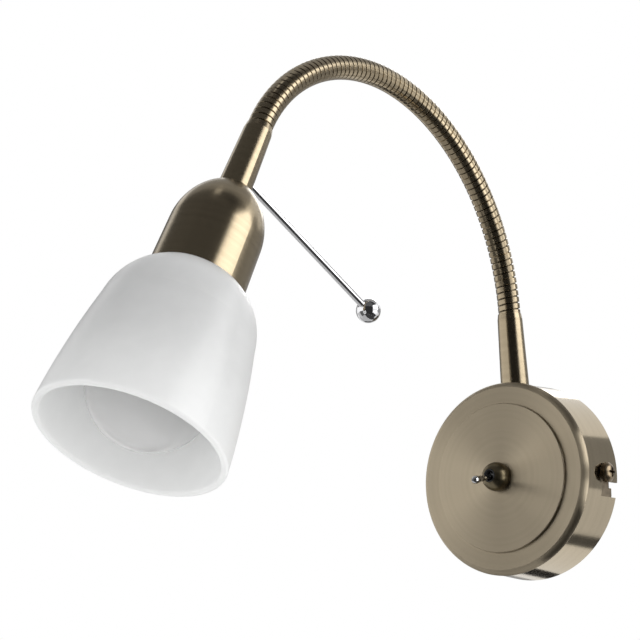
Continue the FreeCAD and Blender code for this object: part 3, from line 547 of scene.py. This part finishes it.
def seen_share(material):
    """1 where a ray from the camera, a mirror or glass looks, and 0 for light on its way to a surface."""
    path = node(material, "ShaderNodeLightPath")
    total = path.outputs[SEEN[0]]
    for name in SEEN[1:]:
        made = node(material, "ShaderNodeMath", operation="MAXIMUM")
        link(material, total, made.inputs[0])
        link(material, path.outputs[name], made.inputs[1])
        total = made.outputs["Value"]
    return total


def make_world():
    """White where it is seen, and a softer light on the object."""
    world = bpy.data.worlds.new("studio")
    bpy.context.scene.world = world
    world.use_nodes = True
    background = world.node_tree.nodes["Background"]
    background.inputs["Color"].default_value = (1, 1, 1, 1)
    made = node(world, "ShaderNodeMapRange")
    made.inputs["To Min"].default_value = WORLD_LIGHT
    made.inputs["To Max"].default_value = 1.0
    link(world, seen_share(world), made.inputs["Value"])
    link(world, made.outputs["Result"], background.inputs["Strength"])


def make_floor():
    """Plain pale floor, which mirrors don't see."""
    corners = [(x * FLOOR_HALF, y * FLOOR_HALF, FLOOR_Z) for x, y in ((-1, -1), (1, -1), (1, 1), (-1, 1))]
    floor = mesh_object("floor", corners, [(0, 1, 2, 3)], smooth=False)
    dress(floor, new_material("floor", Base_Color=(0.9, 0.9, 0.89, 1), Roughness=0.9))
    floor.visible_glossy = False


def toward(azimuth, elevation):
    """Unit vector at an azimuth from +X and an elevation, in degrees."""
    a, e = math.radians(azimuth), math.radians(elevation)
    return Vector((math.cos(a) * math.cos(e), math.sin(a) * math.cos(e), math.sin(e)))


def facing(place):
    """Rotation that turns local -Z from a place towards the lamp's middle."""
    return (MIDDLE - place).to_track_quat("-Z", "Y").to_matrix().to_4x4()


def make_softbox(name, azimuth, elevation, distance, width, height, power):
    """Area light that looks at the lamp. Returns its object."""
    light = bpy.data.lights.new(name, "AREA")
    light.shape = "RECTANGLE"
    light.size = width
    light.size_y = height
    light.energy = power
    obj = bpy.data.objects.new(name, light)
    place = MIDDLE + toward(azimuth, elevation) * distance
    obj.matrix_world = Matrix.Translation(place) @ facing(place)
    bpy.context.scene.collection.objects.link(obj)
    return obj


def make_card(name, azimuths, elevations, brightness):
    """Studio card, curved round the lamp, that only mirrors see."""
    verts = []
    for i in range(CARD_STEPS + 1):
        azimuth = azimuths[0] + (azimuths[1] - azimuths[0]) * i / CARD_STEPS
        for j in range(CARD_STEPS + 1):
            elevation = elevations[0] + (elevations[1] - elevations[0]) * j / CARD_STEPS
            verts.append(MIDDLE + toward(azimuth, elevation) * CARD_DISTANCE)
    row = CARD_STEPS + 1
    faces = [(i * row + j, (i + 1) * row + j, (i + 1) * row + j + 1, i * row + j + 1)
             for i in range(CARD_STEPS) for j in range(CARD_STEPS)]
    card = mesh_object(name, verts, faces)
    material = new_material(name, Base_Color=(0, 0, 0, 1), Roughness=1.0, Specular_IOR_Level=0.0,
                            Emission_Color=(brightness, brightness, brightness, 1), Emission_Strength=1.0)
    dress(card, material)
    for sight in ("camera", "diffuse", "transmission", "volume_scatter", "shadow"):
        setattr(card, "visible_" + sight, False)


CARDS = (                   # (name, azimuths, elevations, brightness)
    ("card_above_left", (-180, -95), (24, 85), 0.12),
    ("card_above", (-95, 2), (30, 85), 0.11),
    ("card_above_right", (2, 45), (38, 85), 0.05),
    ("card_left", (-180, -95), (-6, 24), 1.15),
    ("card_left_low", (-142, -95), (-46, -6), 0.12),
    ("card_left_far", (-180, -142), (-46, -6), 0.6),
    ("card_camera", (-95, -8), (-46, 30), 0.03),
    ("card_low", (-8, 50), (-46, -27), 0.04),
    ("card_left_back", (160, 180), (-6, 30), 0.55),
    ("card_left_edge", (136, 160), (-6, 30), 0.12),
    ("card_back_above", (45, 180), (42, 85), 0.4),
    ("card_back", (72, 136), (-12, 16), 0.35),
    ("card_right_back", (49, 72), (-6, 27), 0.3),
    ("card_right_low", (50, 70), (-46, -6), 0.75),
    ("card_right_line", (70, 80), (-46, -28), 0.1),
    ("card_below", (-95, 85), (-88, -46), 0.05),
    ("card_below_left", (85, 265), (-88, -46), 0.5),
    ("card_low_back", (112, 145), (-46, -20), 0.03),
    ("card_low_far", (145, 180), (-46, -20), 0.45),
)
SOFTBOXES = (               # (name, azimuth, elevation, distance, width, height, power)
    ("key", 24, 24, 1.6, 1.3, 0.8, 7.5),
    ("low", 20, -12, 1.6, 0.9, 0.45, 3.0),
    ("top", 120, 29, 1.7, 0.8, 0.45, 2.6),
)
FILL = ("fill", -95, -48, 0.55, 0.5, 0.5, 0.6)      # into the shade's mouth


def make_studio():
    """World, floor, lights and cards."""
    make_world()
    make_floor()
    for softbox in SOFTBOXES:
        make_softbox(*softbox)
    make_softbox(*FILL).visible_glossy = False
    for card in CARDS:
        make_card(*card)


# ---- camera --------------------------------------------------------------------------------------------
FRAME_PIXELS = 640
FOCAL_PIXELS = 1633.05
SENSOR = 36.0
CAMERA_AZIMUTH = 0.6961
CAMERA_ELEVATION = -0.2255
CAMERA_ROLL = 0.0041
CAMERA_DISTANCE = 672.76
CAMERA_OFFSET = (-30.894, -2.159)
AIM = Vector((0.0, -100.0, 60.0))
CLIP = (0.01, 50.0)


def make_camera():
    """Camera at the photograph's viewing angle."""
    ca, sa = math.cos(CAMERA_AZIMUTH), math.sin(CAMERA_AZIMUTH)
    ce, se = math.cos(CAMERA_ELEVATION), math.sin(CAMERA_ELEVATION)
    right = Vector((ca, sa, 0.0))
    back = Vector((sa * ce, -ca * ce, se))
    up = Vector((-sa * se, ca * se, ce))
    x = math.cos(CAMERA_ROLL) * right - math.sin(CAMERA_ROLL) * up
    y = math.sin(CAMERA_ROLL) * right + math.cos(CAMERA_ROLL) * up
    place = (AIM + back * CAMERA_DISTANCE + x * CAMERA_OFFSET[0] + y * CAMERA_OFFSET[1]) * MM
    camera = bpy.data.cameras.new("camera")
    camera.sensor_width = SENSOR
    camera.lens = FOCAL_PIXELS * SENSOR / FRAME_PIXELS
    camera.clip_start, camera.clip_end = CLIP
    obj = bpy.data.objects.new("camera", camera)
    obj.matrix_world = Matrix(((x.x, y.x, back.x, place.x), (x.y, y.y, back.y, place.y),
                               (x.z, y.z, back.z, place.z), (0, 0, 0, 1)))
    bpy.context.scene.collection.objects.link(obj)
    bpy.context.scene.camera = obj


# ---- the scene -----------------------------------------------------------------------------------------
dress_nodes()
make_neck()
make_wings()
make_studio()
make_camera()
bpy.context.scene.view_settings.view_transform = "Standard"
bpy.context.view_layer.update()
